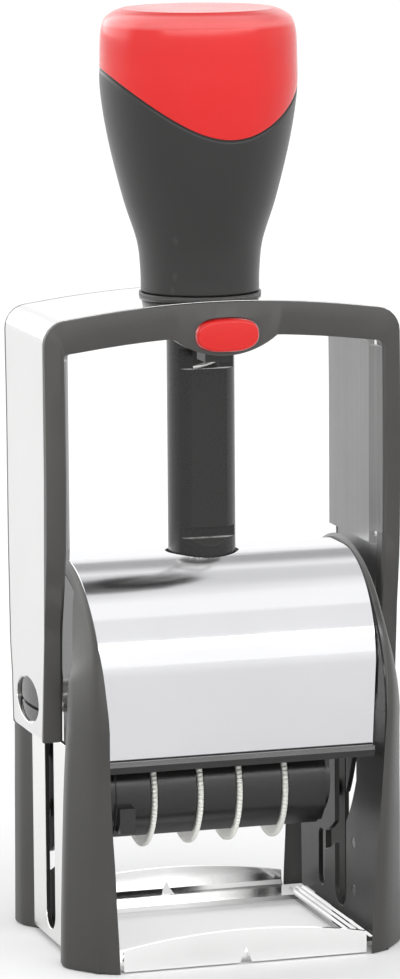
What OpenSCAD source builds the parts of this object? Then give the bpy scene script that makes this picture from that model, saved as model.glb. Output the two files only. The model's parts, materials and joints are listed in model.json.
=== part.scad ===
// Self-inking date stamp: frame, sprung yoke with handle, turning date carriage.
// Frame of reference: +Z up, +X to the user's right, user at -Y, origin under the middle of the feet.

/* [Frame] */
// Half distance between the inner faces of the two cheek walls
wall_x = 29.2; // [29.1:0.1:29.4]
// Depth of a cheek wall, cam plate and outer shell together
wall_t = 1.6; // [1.5:0.1:1.6]
// Radius of the cheek arch
arch_r = 31.3; // [31:0.1:31.6]
// Height of the centre of the cheek arch
arch_z = 48.8; // [48.4:0.1:49.2]
// Half size of the base window across
win_x = 24.5; // [24.5:0.1:25]
// Half size of the base window front to back
win_y = 16.5; // [16:0.1:17.5]
// Height of the front and back aprons at their middle
apron_h = 6.95; // [6:0.05:8]
// Width of the axle slot in the cheek walls
slot_w = 7.0; // [6.9:0.1:7.4]

/* [Cover] */
// Corner radius of the bright cover
cover_r = 20.4; // [20.2:0.1:20.6]
// Height of the top of the bright cover
cover_z = 78.8; // [78.6:0.1:79]
// Sheet thickness of the bright cover
cover_t = 0.8; // [0.6:0.1:0.8]
// Radius of the column hole in the cover
cover_hole_r = 7.4; // [7.3:0.1:8.7]

/* [Yoke] */
// Half width over the bright band
yoke_x = 36.8; // [36.6:0.1:37.4]
// Height of the crown of the band
yoke_z = 130.8; // [130.6:0.1:131]
// Sheet thickness of the band
band_t = 1.2; // [1:0.1:1.3]
// Travel of the handle
travel = 36; // [35.5:0.1:36]

/* [Column and handle] */
// Radius of the guide column
column_r = 6.8; // [6.7:0.05:6.85]
// Height of the top of the column
column_top = 139.5; // [136:0.5:139.5]
// Wire thickness of the return spring
spring_wire = 0.8; // [0.6:0.1:1]
// Turns of the return spring
spring_turns = 16; // [12:1:18]

/* [Carriage] */
// Height of the axle at rest
axle_z = 50.7; // [50.6:0.05:50.8]
// Radius of the axle
axle_r = 3.3; // [3.1:0.1:3.3]
// Distance from the axle to the setting wheel shaft
wheel_drop = 19.5; // [19.3:0.1:19.6]
// Radius of a setting wheel over its teeth
wheel_r = 12.3; // [12:0.1:12.4]
// Teeth round a setting wheel
wheel_teeth = 90; // [60:2:96]
// Radius from the axle to a cam pin
cam_r = 12.3; // [12.2:0.1:12.4]
// Width of the text die
die_w = 45; // [40:1:45]
// Depth of the text die
die_d = 28; // [24:1:28]

/* [Hidden] */
$fn = 96;
BLACK = [0.16, 0.155, 0.15];
GREY = [0.33, 0.32, 0.31];
CHROME = [0.86, 0.86, 0.85];
STEEL = [0.58, 0.58, 0.57];
e = 0.03;
// wheel and band places across the carriage: wheel disc X, band from, band to
LANES = [[-13.7, -12.7, -5.1], [-4.1, -3.2, 3.2], [4.1, 5.1, 8.7], [13.7, 9.1, 12.7]];
wheel_z = axle_z - wheel_drop;
wall_o = wall_x + wall_t;
plate_o = wall_x + 1;
STUDS = [[8.5, 38], [8.5, 26], [-8.5, 18], [-8.5, 8]];

// ---------- helpers ----------
function arc(cx, cy, r, a0, a1, n) = [for (i = [0:n]) let (a = a0 + (a1 - a0) * i / n) [cx + r * cos(a), cy + r * sin(a)]];
function cr1(a, b, c, d, t) = 0.5 * ((2 * b) + (c - a) * t + (2 * a - 5 * b + 4 * c - d) * t * t + (3 * b - a - 3 * c + d) * t * t * t);
// smooth curve through given points, n steps between two of them
function smooth(p, n) = let (m = len(p) - 1) concat([for (i = [0:m - 1]) for (k = [0:n - 1])
    cr1(p[max(i - 1, 0)], p[i], p[i + 1], p[min(i + 2, m)], k / n)], [p[m]]);
function flip(p) = [for (i = [len(p) - 1:-1:0]) [-p[i][0], p[i][1]]];
// an outline in (y, z) drawn out along X, and one in (x, z) drawn out along Y
module along_x(x0, x1) { translate([x0, 0, 0]) rotate([90, 0, 90]) linear_extrude(x1 - x0) children(); }
module along_y(y0, y1) { translate([0, y1, 0]) rotate([90, 0, 0]) linear_extrude(y1 - y0) children(); }
module xcyl(x0, x1, r, y, z) { translate([x0, y, z]) rotate([0, 90, 0]) cylinder(h = x1 - x0, r = r); }
module ycyl(y0, y1, r, x, z) { translate([x, y1, z]) rotate([90, 0, 0]) cylinder(h = y1 - y0, r = r); }
module box(a, b) { translate(a) cube(b - a); }
module both() { children(); mirror([1, 0, 0]) children(); }
module both_y() { children(); mirror([0, 1, 0]) children(); }

// ---------- frame ----------
// half depth of a cheek and the places of its inner and outer edges, by height
function leg_y(z) = lookup(z, [[0, 28.6], [12, 28.9], [24, 29.4], [36, 30], [42, 30.5], [48.8, arch_r]]);
function edge_in(z) = lookup(z, [[0, 26.05], [6, 26.3], [11, 26.6], [21, 27.1], [31, 27.8], [42, 28.3], [51, 28.6], [56, 28.9], [61, 29.1], [66, 29.4], [69, 29.5], [72, 29.6]]);
function edge_out(z) = lookup(z, [[0, 35.4], [25, 34.9], [45, 34.3], [61, 33.5], [66, 32.4], [72, 31.6], [77, 31.35], [81, 31.3]]);
leg_steps = [0, 0.8, 6, 12, 18, 24, 30, 36, 42, 45.5];
arch_steps = 24;
// stations round the cheek: [y, z, inward direction y, z]
STATIONS = concat([for (z = leg_steps) [-leg_y(z), z, 1, 0]],
    [for (i = [0:arch_steps]) let (a = 180 - 180 * i / arch_steps) [arch_r * cos(a), arch_z + arch_r * sin(a), -cos(a), -sin(a)]],
    [for (i = [len(leg_steps) - 1:-1:0]) let (z = leg_steps[i]) [leg_y(z), z, -1, 0]]);
// how far the outside of a cheek flares out, by depth behind its front edge
FLARE = smooth([[0, 0], [0.7, 2.2], [2.35, 4.35], [4.5, 6.2], [6.7, 7.8], [8.5, 8.85], [9.4, 9], [11.2, 8.8], [12.1, 8.6], [16, 6]], 3);
DEPTHS = [0, 0.045, 0.13, 0.22, 0.33, 0.44, 0.54, 0.62, 0.71, 0.8, 0.9, 1];
// room for the yoke legs over their travel: the outside stays within this X at a given y and height
function leg_room(y, z) = (z > 44 && abs(y) < 13.35) ? wall_o - 0.03
    : z > 44 && y < 0 && y > -17 ? 30.75 + 0.386 * (-y - 12.9)
    : abs(y) < 1 + (y < 0 ? lookup(z, [[3, 12], [7.8, 12.2], [28.8, 13.9], [38, 15.4], [46.5, 17], [60.5, 17.6]]) : lookup(z, [[3, 11], [28, 12.3], [46, 14.4]])) ? 32.3 : 99;
function cheek_depth(s) = s[3] == 0 ? abs(s[0]) - lookup(s[1], [[40, 12.7], [43, 13.5]]) : max(2.4, min(16, arch_r - 13.5 / max(0.01, abs(s[2]))));
function cheek_section(s) = let (z = s[1], a = edge_in(z), w = (edge_out(z) - (s[0] > 0 ? lookup(z, [[60, 0.75], [80, 0]]) : 0) - a) / 9, de = cheek_depth(s))
    [for (p = concat([for (u = DEPTHS) let (d = u * de) [d, min(a + lookup(d, FLARE) * w, leg_room(s[0] + s[2] * d, s[1] + s[3] * d))]],
        [[de, plate_o + e], [3, plate_o + e], [3, wall_x]]))
        [p[1], s[0] + s[2] * p[0], s[1] + s[3] * p[0]]];
module skin(rings) {
    n = len(rings); m = len(rings[0]);
    polyhedron([for (r = rings) for (p = r) p], concat([[for (k = [0:m - 1]) k]], [[for (k = [m - 1:-1:0]) (n - 1) * m + k]],
        [for (i = [0:n - 2]) for (k = [0:m - 1]) for (t = [0, 1]) let (a = i * m + k, b = i * m + (k + 1) % m, c = a + m, d = b + m) t == 0 ? [a, c, b] : [b, c, d]]), convexity = 10);
}
function side_outline(in) = concat([[-leg_y(0) + in, 0]], [for (z = [12, 24, 36, 42]) [-leg_y(z) + in, z]], arc(0, arch_z, arch_r - in, 180, 0, arch_steps),
    [for (z = [42, 36, 24, 12]) [leg_y(z) - in, z]], [[leg_y(0) - in, 0]]);
// path of the cam pin while the handle goes down and the carriage turns half a turn
cam_rate = travel / 180;
function cam_point(a) = [-cam_r * cos(a), axle_z - cam_rate * a - cam_r * sin(a)];
function cam_normal(a) = let (v = cam_point(a + 1) - cam_point(a - 1)) [-v[1], v[0]] / norm(v);
module cam_groove(r) {
    pts = [for (a = [0:6:180]) a];
    polygon(concat([for (a = pts) cam_point(a) + cam_normal(a) * r], [for (i = [len(pts) - 1:-1:0]) cam_point(pts[i]) - cam_normal(pts[i]) * r]));
    translate(cam_point(0)) circle(r);
    translate(cam_point(180)) circle(r);
    // straight run-out at the bottom of the groove
    translate([cam_r - r, 6.5]) square([2 * r, axle_z - travel - 6.5]);
    translate([cam_r, 6.5]) circle(r);
}
module cheek() { skin([for (s = STATIONS) cheek_section(s)]); }
// flat plate inside each cheek, with the axle slot and the cam groove
module cam_plate() difference() {
    along_x(wall_x, plate_o) polygon(side_outline(3 + e));
    along_x(wall_x - 1, 31.2) { translate([-slot_w / 2, 6.6]) square([slot_w, 48]); translate([0, 6.6]) circle(slot_w / 2); translate([0, 54.6]) circle(slot_w / 2); }
    along_x(wall_x - 1, 31.2) cam_groove(1.9);
    for (p = STUDS) xcyl(wall_x - 1, 33, 1.2, p[0], p[1]);
    for (y = [-18.6, 18.6]) xcyl(wall_x - 1, 33, 1.5, y, 61.5);
    // slots for the tabs of the tray
    for (y = [-20, 20]) box([wall_x - 1, y - 3.05, 0.77], [wall_o, y + 3.05, 1.83]);
}
module cam_plate_right() color(GREY) cam_plate();
module cam_plate_left() color(GREY) mirror([1, 0, 0]) cam_plate();
module cheek_right() color(GREY) cheek();
module cheek_left() color(GREY) mirror([1, 0, 0]) cheek();

module side_plate() difference() {
    box([31.4, -12.65, 1], [32.4, 12.65, 43.2]);
    along_x(31, 33) { translate([-slot_w / 2, 6.6]) square([slot_w, 50]); translate([0, 6.6]) circle(slot_w / 2); }
}
module side_plate_right() color(CHROME) side_plate();
module side_plate_left() color(CHROME) mirror([1, 0, 0]) side_plate();

// studs that hold each side plate to its cam plate
module frame_rivets() color(STEEL) both() for (p = STUDS) { xcyl(wall_x, 31.4 - e, 1.2 - e, p[0], p[1]); xcyl(plate_o + e, 31.4 - e, 1.9, p[0], p[1]); }
module tie_rods() color(STEEL) for (y = [-18.6, 18.6]) difference() {
    xcyl(-plate_o, plate_o, 1.5 - e, y, 61.5);
    both() xcyl(plate_o - 0.5, plate_o + 1, 0.6, y, 61.5);
}

module base_tray() color(CHROME) difference() {
    union() {
        box([-29, -25.4, 0.8], [29, 25.4, 1.8]);
        box([-25.2, -27.3, 0.8], [25.2, 27.3, 1.8]);
        for (y = [-20, 20]) box([-plate_o, y - 3, 0.8], [plate_o, y + 3, 1.8]);
        both_y() intersection() {
            box([-25.2, -28.1, 0.3], [25.2, -27.1, 9]);
            ycyl(-29, -27, 136.3, 0, apron_h - 136.3);
        }
        // turned edge between plate and apron
        both_y() along_x(-25.2, 25.2) polygon([[-27.1, 0.8], [-27.1, 2.6], [-26.3, 1.8], [-26.3, 0.8]]);
        // pressed ridges beside the window
        both() for (x = [25.5, 26.9, 28.3]) along_y(-22, 22) polygon([[x - 0.45, 1.8], [x, 2.2], [x + 0.45, 1.8]]);
    }
    box([-win_x, -win_y, 0], [win_x, win_y, 3]);
    // centre marks
    along_y(-30, -26.2) polygon([[-1.35, 0], [0, 3.35], [1.35, 0]]);
    along_y(26.2, 30) polygon([[-2, 0], [0, 4.2], [2, 0]]);
    box([-1.15, 24.8, 0], [1.15, 26.4, 3]);
}

// profile of the cover and the hood under it, set in by "in"; "low" is the height of the back edge
function cover_outline(in, front_low, back_low) = let (r = cover_r - in, k = (58.4 - front_low) / 17.1 * 2.1)
    concat([[-3.1 - r + k, front_low]], arc(-3.1, 58.4, r, 180, 90, 24), arc(3.1, 58.4, r, 90, 0, 24), [[3.1 + r - (58.4 - back_low) / 17.1 * 2.1, back_low]]);
// the slot in the back through which the pad tray is drawn out
module pad_exit(m) { box([-24.6 - m, 8, 65.3 - m], [24.6 + m, 30, 69.7 + m]); }
module cover() color(CHROME) difference() {
    along_x(-28.9, 28.9) difference() {
        polygon(cover_outline(0, 41.3, 50));
        polygon(cover_outline(cover_t, 38, 46));
    }
    translate([0, 0, 70]) cylinder(h = 12, r = cover_hole_r);
    pad_exit(0.2);
}
module hood() color(BLACK) difference() {
    union() {
        along_x(-28.9, 28.9) difference() {
            polygon(cover_outline(cover_t + e, 41.3 + e, 50));
            polygon(concat([[-20.4, 38], [-20.4, 48.4]], arc(-3.1, 58.4, 17.8, 180, 90, 24), arc(3.1, 58.4, 17.8, 90, 0, 24), [[19.9, 49.9], [0, 38]]));
        }
        // lower front lip
        along_x(-29, 29) polygon([[-21.3, 41.3 - e], [-22.3, 41.1], [-22.6, 40.2], [-22.35, 39.5], [-22.0, 39.5], [-21.6, 38.7], [-20.4, 38.7], [-20.4, 42.6], [-20.5, 42.6], [-20.5, 41.3 - e]]);
        // lugs for the tie rods
        both() both_y() box([26, -20.9, 59.6], [28.9, -17, 63.4]);
    }
    both_y() xcyl(-30, 30, 1.5, -18.6, 61.5);
    translate([0, 0, 70]) cylinder(h = 12, r = 7.2);
    pad_exit(0);
}
module pad_carrier() color(BLACK) difference() {
    union() {
        box([-26.2, -14.2, 70], [26.2, 14.2, 71.6]);
        both() box([24.75, -15.6, 64.4], [26.2, 15.6, 70]);
        both() box([24.1, -15.6, 64.4], [26.2, 15.6, 65.3]);
        // block that joins the column to the hood
        intersection() {
            box([-11, -9.5, 71.5], [11, 9.5, 76.15]);
            along_x(-20, 20) polygon(concat(arc(-3.1, 58.4, 17.75, 180, 90, 24), arc(3.1, 58.4, 17.75, 90, 0, 24)));
        }
    }
    translate([0, 0, 60]) cylinder(h = 20, r = column_r);
    translate([0, 0, 69]) cylinder(h = 2.4, r = 9);
}
// guide column with its flat and its two lock notches
module guide_column() color(BLACK) difference() {
    union() {
        translate([0, 0, 70.2]) cylinder(h = column_top - 70.2, r = column_r - e);
        translate([0, 0, 70.2]) cylinder(h = 1.15, r = 8.9);
        translate([0, 0, 71.35]) cylinder(h = 0.02, r = 8.9);
    }
    translate([0, 0, 84]) cylinder(h = 60, r = 4.6);
    translate([0, 0, 70]) cylinder(h = 15, r = 2.2);
    // flat down the front and its sloping foot
    along_x(-8, 8) polygon([[-9, 122.6], [-5.7, 122.6], [-5.7, 82], [-6.9, 80.5], [-9, 80.5]]);
    // lower and upper lock notch
    box([-8, -9, 82], [8, -3.75, 84.2]);
    box([-8, -9, 116.1], [8, -3.75, 120.4]);
}
module column_nut() color(STEEL) union() {
    translate([0, 0, 84.1]) cylinder(h = 1.6, r = 4.4);
    translate([0, 0, 69.3]) cylinder(h = 15, r = 2.1);
    translate([0, 0, 69.2]) cylinder(h = 0.95, r = 4.2);
}

// ---------- yoke ----------
yoke_front = [[43.5, -10.9], [64.8, -13.4], [96.8, -14.7], [140, -14.7]];
yoke_back = [[43.5, 10], [54.5, 10.6], [60.3, 11.7], [80.8, 12.4], [108.8, 12.4], [123.6, 12.9], [140, 12.9]];
corner_r = 4.8;
crown_r = 210;
function crown(x, top) = top - x * x / 2 / crown_r;
// outline of the yoke in (x, z), set in by "in", from the left foot over the crown to the right foot
function yoke_outline(in, low) = let (cx = yoke_x - corner_r, cz = crown(yoke_x - corner_r, yoke_z) - corner_r, r = corner_r - in)
    let (h = concat([[yoke_x - in, low]], arc(cx, cz, r, 0, 82, 10), [for (x = [28, 24, 20, 16, 12, 8, 4, 0]) [x, crown(x, yoke_z) - in]]))
    concat([for (p = h) p], [for (i = [len(h) - 2:-1:0]) [-h[i][0], h[i][1]]]);
module yoke_side() polygon(concat([for (p = yoke_front) [p[1], p[0]]], [for (i = [len(yoke_back) - 1:-1:0]) [yoke_back[i][1], yoke_back[i][0]]]));
module axle_oval(m) polygon([for (i = [0:47]) [-0.7 + (8 + m) * cos(7.5 * i), 50.75 + (4.3 + m) * sin(7.5 * i)]]);
module yoke_band() color(CHROME) difference() {
    intersection() {
        union() {
            along_y(-20, 20) difference() {
                polygon(yoke_outline(0, 44.9));
                polygon(yoke_outline(band_t, 44));
            }
            // edge rolled inward at the foot of each leg
            both() along_y(-20, 20) polygon([[yoke_x, 44.9], [yoke_x - 0.15, 44.2], [yoke_x - 0.6, 43.7], [yoke_x - 2.4, 43.6], [yoke_x - 2.4, 44.5], [yoke_x - 1.2, 44.9]]);
        }
        along_x(-40, 40) yoke_side();
    }
    translate([0, 0, 120]) cylinder(h = 15, r = 8.7);
    // oval openings round the axle ends
    both() along_x(30, 40) axle_oval(0.3);
}
// inside outline of the satin stirrup, upper part at 31.1, lower part stepped out to 32.9
function stirrup_outline(in) = let (a = 31.1 + in, b = 32.9 + in, h = [[b, 43.9 - in], [b, 80.2 + in], [a, 80.5 + in], [a, 121 + in / 2], [a - 0.9, 122.1 + in], [24, crown(24, 124) + in], [16, crown(16, 124) + in], [8, crown(8, 124) + in], [0, 124 + in]])
    concat(h, [for (i = [len(h) - 2:-1:0]) [-h[i][0], h[i][1]]]);
module inner_stirrup() color(STEEL) difference() {
    union() {
    intersection() {
        along_y(-20, 20) difference() {
            polygon(stirrup_outline(1.2));
            polygon(stirrup_outline(0));
            translate([-40, 40]) square([80, 4.1]);
        }
        along_x(-40, 40) polygon([[-9.9, 44], [-10.8, 64.8], [-12.95, 83], [-12.95, 130], [12.8, 130], [12.3, 108.8], [12.3, 80.8], [11.6, 60.3], [10.5, 54.5], [9.9, 44]]);
    }
    // front flange of each leg, turned out along the trim
    both() translate([0, 0, 83]) linear_extrude(37.4) polygon([[31.1, -12.9], [32.45, -16.4], [32.72, -16.4], [32.72, -12.6], [31.1, -12.6]]);
    }
    translate([0, 0, 115]) cylinder(h = 15, r = 8.7);
    box([-3.4, -14, 118], [3.4, -7.6, 126]);
    box([-7.6, -14, 118], [8.6, -12.2, 128]);
    both() xcyl(30, 36, axle_r, 0, axle_z);
}
// front trim: stations along the yoke outline, each with its outer edge, crease and inner edge
trim_face = [[43.8, -12], [64.8, -13.9], [68, -14.2], [74, -15.3], [79, -16.1], [83, -16.55], [96.8, -17.15], [110, -17], [124, -16.6], [140, -16.5]];
trim_rear = [[43.8, -10], [64.8, -10.9], [83, -13.05], [140, -13.05]];
function trim_in(z) = lookup(z, [[43.9, 32.7], [64.8, 33], [79, 32.8], [83, 32.75]]);
function trim_bevel(z) = lookup(z, [[43.8, 0.2], [64.8, 0.25], [68, 0.3], [74, 0.55], [79, 0.8], [83, 1]]);
// lower edge of the beam, with a bulge round the lock button in the front one
function beam_low(x, bulge) = bulge && abs(x - 0.3) < 14 ? min(crown(x, 124.1), 137.25 - sqrt(295.84 - (x - 0.3) * (x - 0.3))) : crown(x, 124.1);
function trim_half(bulge) = [
    // outer x, z; crease x, z; inner x, z
    for (z = [43.9, 46, 54, 60, 64.8, 68, 71, 74, 77, 79, 83, 90, 96.8, 104, 112, 117, 120.3]) [[yoke_x - 0.1, z], [33.6, z], [trim_in(z), z]],
    for (i = [0:6]) let (a = i * 82 / 6, cx = yoke_x - corner_r, cz = crown(yoke_x - corner_r, yoke_z) - corner_r)
        [[cx + (corner_r - 0.12) * cos(a), cz + (corner_r - 0.12) * sin(a)], [cx + 1.6 * cos(a), cz + 1.6 * sin(a)], [32.75 - 1.25 * (1 - cos(a * 90 / 82)), 120.9 + 0.9 * sin(a * 90 / 82)]],
    for (x = [28, 24, 20, 16, 13, 12, 11, 10, 9, 8, 7, 6, 5, 4, 3, 2, 1, 0]) [[x, crown(x, yoke_z) - 0.12], [x, crown(x, 127.65)], [x, beam_low(x, bulge)]]];
function trim_other(bulge) = let (h = trim_half(bulge)) [for (i = [len(h) - 2:-1:0]) [for (p = h[i]) [-p[0], len(h) - i <= 18 && p == h[i][2] ? beam_low(-p[0], bulge) : p[1]]]];
function trim_rings(face, rear, bevel) = let (all = concat(trim_half(bevel > 0), trim_other(bevel > 0)))
    [for (q = all) let (yf = lookup(q[1][1], face), yr = lookup(q[1][1], rear), b = bevel * trim_bevel(q[1][1]), v = q[1] - q[2], c = q[2] + 0.35 * v / norm(v)) [
        [q[0][0], yf + b * 1.3, q[0][1]], [q[0][0] * 0.998, yf + b * 0.75, q[0][1] - 0.05], [q[1][0], yf, q[1][1]], [c[0], yf + 0.1, c[1]], [q[2][0], yf + 0.4, q[2][1]], [q[2][0], yr, q[2][1]], [q[0][0], yr, q[0][1]]]];
function pw(v, k) = sign(v) * pow(abs(v), k);
module button_oval(m) polygon([for (i = [0:47]) let (a = 7.5 * i) [0.5 + (6.4 + m) * pw(cos(a), 0.77), 124.25 + (3.25 + m) * pw(sin(a), 0.77)]]);
module front_trim() color(BLACK) difference() {
    skin([for (r = trim_rings(trim_face, trim_rear, 1)) [for (i = [len(r) - 1:-1:0]) r[i]]]);
    // the bright band and its edge
    intersection() {
        along_y(-20, 20) difference() { polygon(yoke_outline(-1, 40)); polygon(yoke_outline(band_t + e, 40)); }
        along_x(-40, 40) translate([-e, 0]) yoke_side();
    }
    both() box([34.3, -11, 40], [40, 0, 45]);
    along_y(-20, -10) button_oval(0.25);
    along_y(-15.7, -10) button_oval(0.9);
}
module rear_trim() color(BLACK) difference() {
    skin([for (r = trim_rings([[43.8, -10.2], [54.5, -10.8], [60.3, -11.9], [80.8, -12.6], [108.8, -12.6], [123.6, -13.2], [140, -13.3]],
        [[43.8, -10.1], [54.5, -10.7], [60.3, -11.75], [80.8, -12.45], [108.8, -12.45], [123.6, -12.95], [140, -12.95]], 0)) [for (i = [0:6]) let (p = r[i])
            [p[0], -p[1] + (i < 5 ? 1 : 0), p[2]]]]);
    translate([0, 0, 120]) cylinder(h = 20, r = 8.7);
}
module collar() color(BLACK) difference() {
    translate([0, 0, 126]) cylinder(h = 5.15, r = 12.2);
    along_y(-20, 20) polygon(concat([for (x = [-16:4:16]) [x, crown(x, yoke_z) + e]], [[16, 120], [-16, 120]]));
    translate([0, 0, 120]) cylinder(h = 20, r = 8.7);
}
module handle_tube() color(STEEL) difference() {
    union() {
        translate([0, 0, 125.3]) cylinder(h = 52.7, r = 8.6);
        translate([0, 0, 127.6]) cylinder(h = 1.7, r = 10.6);
    }
    translate([0, 0, 120]) cylinder(h = 65, r = 7.4);
}
module guide_bush() color(GREY) difference() {
    union() {
        translate([0, 0, 124.2]) cylinder(h = 9, r = 7.38);
        translate([0, 0, 124.1]) cylinder(h = 1.15, r = 8.5);
    }
    translate([0, 0, 120]) cylinder(h = 20, r = column_r + 0.05);
}
// handle and cap profile: radius by height
GRIP = [[11.82, 131.3], [11.9, 135.6], [12.57, 141.4], [15.22, 149.8], [18.03, 161.3], [19.54, 171.1], [19.6, 178], [19.45, 182.2], [19.1, 184.3]];
CROWN = [[19.1, 184.3], [18.5, 185.5], [17.49, 186.4], [16.2, 187.1], [14.72, 187.5]];
function grip_pts() = smooth(GRIP, 5);
function crown_pts() = smooth(CROWN, 3);
module grip_solid() rotate_extrude() polygon(concat([[0, 131.3]], grip_pts(), crown_pts(), [[0, 187.5]]));
// everything below the curved border of the cap; g lowers the border
module below_border(g) rotate([0, 0, 5]) along_x(-30, 30) polygon(concat([[-30, 100], [-30, 146.8 - g]], arc(6, 146.8, 29 - g, 180, 90, 40), [[30, 175.8 - g], [30, 100]]));
module handle() color(BLACK) difference() {
    union() {
        intersection() { grip_solid(); below_border(0.12); }
        // neck inside the cap
        rotate_extrude() polygon(concat([[0, 150]], [for (p = grip_pts()) if (p[1] > 150) [p[0] - 1.9, p[1]]], [[16.6, 184.6], [0, 184.6]]));
    }
    translate([0, 0, 131]) cylinder(h = 47.5, r = 8.65);
    translate([0, 0, 178]) cylinder(h = 10, r = 6);
}
module cap() color([0.92, 0.2, 0.2]) difference() {
    grip_solid();
    below_border(0);
    rotate_extrude() polygon(concat([[0, 150]], [for (p = grip_pts()) if (p[1] > 150) [p[0] - 1.85, p[1]]], [[16.75, 184.65], [0, 184.65]]));
}
module top_plug() color(STEEL) union() {
    translate([0, 0, 176.6]) cylinder(h = 1.42, r = 7.35);
    translate([0, 0, 178]) cylinder(h = 5.5, r = 5.9);
}
// return spring: a coil swept with six sides
spring_z0 = 85.9;
spring_z1 = 176.5;
spring_r = 3.9;
module return_spring() color(STEEL) {
    n = spring_turns * 14;
    skin([for (i = [0:n]) let (t = i / n, u = max(0, min(1, (t - 0.06) / 0.88)), a = 360 * spring_turns * t, z = spring_z0 + spring_wire / 2 + u * (spring_z1 - spring_z0 - spring_wire))
        [for (k = [0:5]) let (b = -60 * k, q = spring_r + spring_wire / 2 * cos(b)) [q * cos(a), q * sin(a), z + spring_wire / 2 * sin(b)]]]);
}
module axle() color(STEEL) union() {
    xcyl(-34.3, 34.3, axle_r - e, 0, axle_z);
}
// domed end piece shown in the oval opening of the band
module axle_end() difference() {
    intersection() {
        along_x(34.35, 36.6) axle_oval(0);
        translate([-3.4, -0.7, 50.95]) sphere(r = 40, $fn = 300);
    }
    box([35.3, -12, 49.2], [38, 12, 49.9]);
}
module axle_end_right() color(BLACK) axle_end();
module axle_end_left() color(BLACK) mirror([1, 0, 0]) axle_end();

// ---------- lock button ----------
module lock_button() color([0.93, 0.22, 0.2]) union() {
    intersection() {
        along_y(-18.4, -15.3) button_oval(0);
        translate([0.5, 2.6, 124.25]) sphere(r = 21, $fn = 96);
    }
    along_y(-15.4, -14.6) button_oval(0.5);
    ycyl(-14.7, -11.85, 1.6, 0.5, 123.2);
    ycyl(-11.9, -10.6, 0.9, 0.5, 122.7);
}
// steel tongue on the button's stem, which goes into a notch of the column
module lock_tongue() color([0.25, 0.25, 0.25]) difference() {
    union() {
        box([-2.6, -11.8, 118.3], [2.6, -10.4, 123.9]);
        box([-2.6, -10.6, 118.3], [2.6, -6.1, 119.9]);
    }
    ycyl(-12, -10, 0.93, 0.5, 122.7);
}
module button_spring() color(STEEL) {
    skin([for (i = [0:60]) let (a = 24 * i, y = -14.3 + 2 * i / 60) [for (k = [0:5]) let (b = 60 * k, q = 2.3 + 0.22 * cos(b)) [0.5 + q * cos(a), y + 0.22 * sin(b), 123.2 + q * sin(a)]]]);
}

// ---------- carriage, drawn about the axle and lifted to it ----------
module lift() { translate([0, 0, axle_z]) children(); }
module arm_plate() difference() {
    union() {
        circle(6.2);
        translate([0, -wheel_drop]) circle(8);
        polygon([[-6.2, 0], [-7.6, -wheel_drop], [7.6, -wheel_drop], [6.2, 0]]);
        polygon([[-6, 0], [-13.2, 9.6], [-13.2, 12.2], [13.2, 12.2], [13.2, 9.6], [6, 0]]);
        translate([-cam_r, -2.7]) square([cam_r, 5.4]);
        translate([-cam_r, 0]) circle(2.7);
    }
    circle(axle_r + 0.03);
    translate([0, -wheel_drop]) circle(2);
    translate([-cam_r, 0]) circle(1.6);
}
module carriage_frame() color(GREY) lift() difference() {
    union() {
        both() along_x(22.6, 24.4) arm_plate();
        box([-24.4, -13.2, 10.8], [24.4, 13.2, 12.2]);
    }
    box([-13.5, -6, 10], [13.5, 6, 13]);
}
module cam_pins() color(STEEL) lift() both() {
    xcyl(22.6, plate_o - 0.15, 1.6 - e, -cam_r, 0);
    xcyl(24.4, 25.4, 2.3, -cam_r, 0);
}
module drum_2d(r, flat) intersection() {
    translate([0, -wheel_drop]) circle(r);
    translate([-20, -wheel_drop - flat]) square([40, 40]);
}
module drum_housing() color(BLACK) lift() difference() {
    union() {
        along_x(-21.6, 21.6) difference() {
            drum_2d(11.4, 8.4);
            drum_2d(10.2, 7.2);
            translate([-7.2, -wheel_drop + 4]) square([14.4, 10]);
        }
        // shoulders that run up to the two cross bars
        both_y() along_x(-21.6, 21.6) polygon([[-7.2, -12.6], [-9.3, -13.6], [-9.3, -5], [-7.2, -5]]);
        both_y() box([-22.6, -9.3, -8], [22.6, -7.2, -5]);
        // end discs
        both() along_x(20.4, 22.6) difference() { drum_2d(11, 8); translate([0, -wheel_drop]) circle(2.2); translate([-7.2, -wheel_drop + 6]) square([14.4, 10]); }
        // stop lug at the left
        box([-21.4, -13.1, -26.2], [-18.2, -8.6, -21.1]);
    }
    // slots for the setting wheels
    for (l = LANES) xcyl(l[0] - 0.75, l[0] + 0.75, 12.7, 0, -wheel_drop);
}
module wheel_shaft() color(STEEL) lift() union() {
    xcyl(-24.4, 24.4, 1.5, 0, -wheel_drop);
    both() xcyl(20, 24.4, 1.97, 0, -wheel_drop);
}
module type_bar() color(GREY) lift() union() {
    along_x(-13, 13) polygon([[-4.55, 5], [-4.55, 12.1], [-3.75, 12.9], [3.75, 12.9], [4.55, 12.1], [4.55, 5]]);
    both() box([13, -4.55, 9.2], [17.5, 4.55, 10.78]);
}
// an endless rubber band: round the hub at the bottom, over the type bar at the top
function band_pts(o) = let (w = 4.75 + o, t = 13.05 + o) concat(arc(0, -wheel_drop, w, -180, 0, 32), [[w, t - 0.8], [w - 0.8, t], [-w + 0.8, t], [-w, t - 0.8]]);
module date_band(l, marks) {
    x0 = l[1]; x1 = l[2];
    along_x(x0, x1) difference() { polygon(band_pts(0.7)); polygon(band_pts(0)); }
    // raised type on the upper face and down both runs
    for (m = marks) box([x0 + m[0] * (x1 - x0), -1.8, 13.7], [x0 + m[1] * (x1 - x0), 1.8, 14.3]);
    for (z = [-10:5.4:8]) both_y() for (m = marks) box([x0 + m[0] * (x1 - x0), -6, z - 1.8], [x0 + m[1] * (x1 - x0), -5.4, z + 1.8]);
}
module day_band() color(BLACK) lift() date_band(LANES[0], [[0.1, 0.42], [0.58, 0.9]]);
module month_band() color(BLACK) lift() date_band(LANES[1], [[0.06, 0.3], [0.38, 0.62], [0.7, 0.94]]);
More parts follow.
